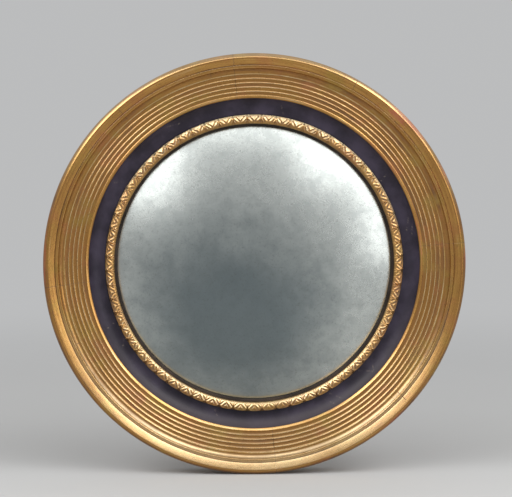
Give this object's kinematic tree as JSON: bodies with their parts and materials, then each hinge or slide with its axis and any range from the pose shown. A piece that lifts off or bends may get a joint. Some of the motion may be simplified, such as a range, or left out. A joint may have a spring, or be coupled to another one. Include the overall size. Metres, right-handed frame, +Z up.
{
  "type": "convex mirror",
  "caption": "Round convex wall mirror in a turned gilt and ebonised wooden frame, with a leaf ornament round the glass, a planked back and hanging rings.",
  "frame": {"origin": "centre of the frame on the wall plane, which the rear faces of the two bumpers touch", "axes": "+Z up, +Y out of the back into the wall, so the mirror looks towards -Y; +X to the right as seen from the room"},
  "size_m": [0.61, 0.072, 0.61],
  "materials": {
    "gilding": "satin",
    "gilt_composition": "satin",
    "ebonised_wood": "gloss",
    "glass": "polished",
    "silvering": "polished",
    "pine": "matte",
    "steel": "satin",
    "brass": "satin",
    "cork": "matte"
  },
  "bodies": {
    "frame": {"moulding_upper_right": "gilding", "moulding_upper_left": "gilding", "moulding_lower_left": "gilding", "moulding_lower_right": "gilding", "ebonised_cove": "ebonised_wood", "sight_slip": "ebonised_wood", "leaf_strip_1": "gilt_composition", "leaf_strip_2": "gilt_composition", "leaf_strip_3": "gilt_composition", "leaf_strip_4": "gilt_composition", "mirror_glass": "glass", "silvering": "silvering", "carcase_top": "pine", "carcase_left": "pine", "carcase_bottom": "pine", "carcase_right": "pine", "glazing_blocks": "pine", "backboard_screws": "steel", "slip_pins": "steel", "backboard_plank_top": "pine", "backboard_plank_middle": "pine", "backboard_plank_bottom": "pine", "hanger_plate_right": "brass", "hanger_staple_right": "brass", "hanger_screws_right": "brass", "wall_bumper_right": "cork", "hanger_plate_left": "brass", "hanger_staple_left": "brass", "hanger_screws_left": "brass", "wall_bumper_left": "cork"},
    "ring_right": {"hanging_ring_right": "brass"},
    "ring_left": {"hanging_ring_left": "brass"}
  },
  "joints": [
    {"name": "ring_right_swing", "type": "hinge", "parent": "frame", "child": "ring_right", "pos_m": [0.16198, -0.0046, 0.19304], "axis": [1, 0, 0], "range_deg": [0, 170]},
    {"name": "ring_left_swing", "type": "hinge", "parent": "frame", "child": "ring_left", "pos_m": [-0.16198, -0.0046, 0.19304], "axis": [1, 0, 0], "range_deg": [0, 170]}
  ]
}
